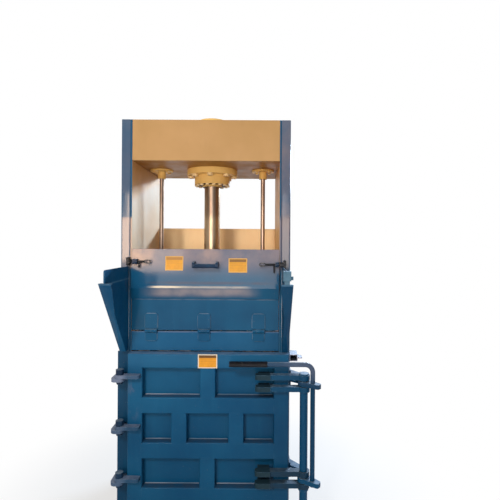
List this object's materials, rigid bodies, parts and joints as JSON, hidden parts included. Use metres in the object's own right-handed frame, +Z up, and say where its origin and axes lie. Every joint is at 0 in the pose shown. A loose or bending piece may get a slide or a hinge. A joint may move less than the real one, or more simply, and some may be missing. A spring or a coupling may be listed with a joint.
{
  "type": "recycling baler",
  "caption": "Upright recycling baler with a telescopic ram, a tilting feed door between hopper cheeks and a ribbed side-hinged main door with a swinging lever lock.",
  "frame": {"origin": "on the floor, at the middle of the bale chamber and of the four floor anchors", "axes": "+X to the right as seen from the front, -Y towards the operator, +Z up"},
  "size_m": [1.2748, 1.166, 2.618],
  "materials": {
    "body_paint": "gloss",
    "door_paint": "gloss",
    "inner_paint": "satin",
    "crosshead_paint": "satin",
    "chrome_rod": "polished",
    "machined_steel": "satin",
    "dark_steel": "satin",
    "worn_steel": "worn",
    "wear_plastic": "matte",
    "grip_rubber": "matte",
    "switch_plastic": "matte"
  },
  "bodies": {
    "root": {"front_columns": "body_paint", "rear_columns": "body_paint", "left_side_plate": "inner_paint", "right_side_plate": "inner_paint", "left_side_ribs": "body_paint", "right_side_ribs": "body_paint", "bed": "body_paint", "bed_bars": "worn_steel", "front_sill": "body_paint", "back_wall": "inner_paint", "back_ribs": "body_paint", "lintel_panel": "door_paint", "crosshead_front_plate": "crosshead_paint", "crosshead_rear_plate": "crosshead_paint", "crosshead_bottom_plate": "inner_paint", "crosshead_top_plate": "body_paint", "crosshead_webs": "body_paint", "cylinder_barrel": "inner_paint", "cylinder_cap": "inner_paint", "cylinder_flange": "inner_paint", "flange_bolts": "machined_steel", "gland": "inner_paint", "gland_bolts": "machined_steel", "guide_bushes": "inner_paint", "guide_bush_bolts": "machined_steel", "left_cheek": "body_paint", "right_cheek": "body_paint", "safety_switch": "switch_plastic", "feed_hinge_lower_leaves": "door_paint", "feed_hinge_pins": "machined_steel", "latch_keepers": "dark_steel", "door_hinge_brackets": "body_paint", "door_hinge_pins": "dark_steel", "lock_keepers": "body_paint", "handle_socket": "body_paint"},
    "main_door": {"door_skin": "door_paint", "door_left_stile": "door_paint", "door_right_stile": "door_paint", "door_rails": "door_paint", "door_centre_stiles": "door_paint", "door_hinge_leaves": "door_paint", "upper_fork_arms": "door_paint", "lower_fork_arms": "door_paint"},
    "door_lock": {"lock_shaft": "door_paint", "upper_lock_claw": "door_paint", "lower_lock_claw": "door_paint", "handle_bar": "door_paint", "handle_grip": "grip_rubber"},
    "feed_door": {"feed_door_panel": "door_paint", "feed_hinge_upper_leaves": "door_paint", "feed_door_handle": "dark_steel", "latch_guides": "door_paint"},
    "left_latch": {"left_latch_bolt": "dark_steel"},
    "right_latch": {"right_latch_bolt": "dark_steel"},
    "ram_stage": {"ram_sleeve": "chrome_rod"},
    "ram": {"ram_rod": "chrome_rod", "platen": "body_paint", "platen_bars": "worn_steel", "platen_wear_pads": "wear_plastic", "guide_rods": "chrome_rod"}
  },
  "joints": [
    {"name": "main_door_hinge", "type": "hinge", "parent": "root", "child": "main_door", "pos_m": [-0.5, -0.43, 0.6], "axis": [0, 0, -1], "range_deg": [0, 120]},
    {"name": "lock_turn", "type": "hinge", "parent": "main_door", "child": "door_lock", "pos_m": [0.605, -0.435, 0.6], "axis": [0, 0, 1], "range_deg": [0, 70]},
    {"name": "feed_door_tilt", "type": "hinge", "parent": "root", "child": "feed_door", "pos_m": [0, -0.3615, 1.215], "axis": [1, 0, 0], "range_deg": [0, 45]},
    {"name": "left_latch_slide", "type": "slide", "parent": "feed_door", "child": "left_latch", "axis": [1, 0, 0], "range_m": [0, 0.036]},
    {"name": "right_latch_slide", "type": "slide", "parent": "feed_door", "child": "right_latch", "axis": [-1, 0, 0], "range_m": [0, 0.036]},
    {"name": "ram_slide", "type": "slide", "parent": "root", "child": "ram", "axis": [0, 0, 1], "range_m": [0, 0.72]},
    {"name": "ram_stage_slide", "type": "slide", "parent": "root", "child": "ram_stage", "axis": [0, 0, 1], "range_m": [0, 0.36]}
  ],
  "couplings": [
    {"joint": "ram_stage_slide", "follows": "ram_slide", "ratio": 0.5}
  ]
}
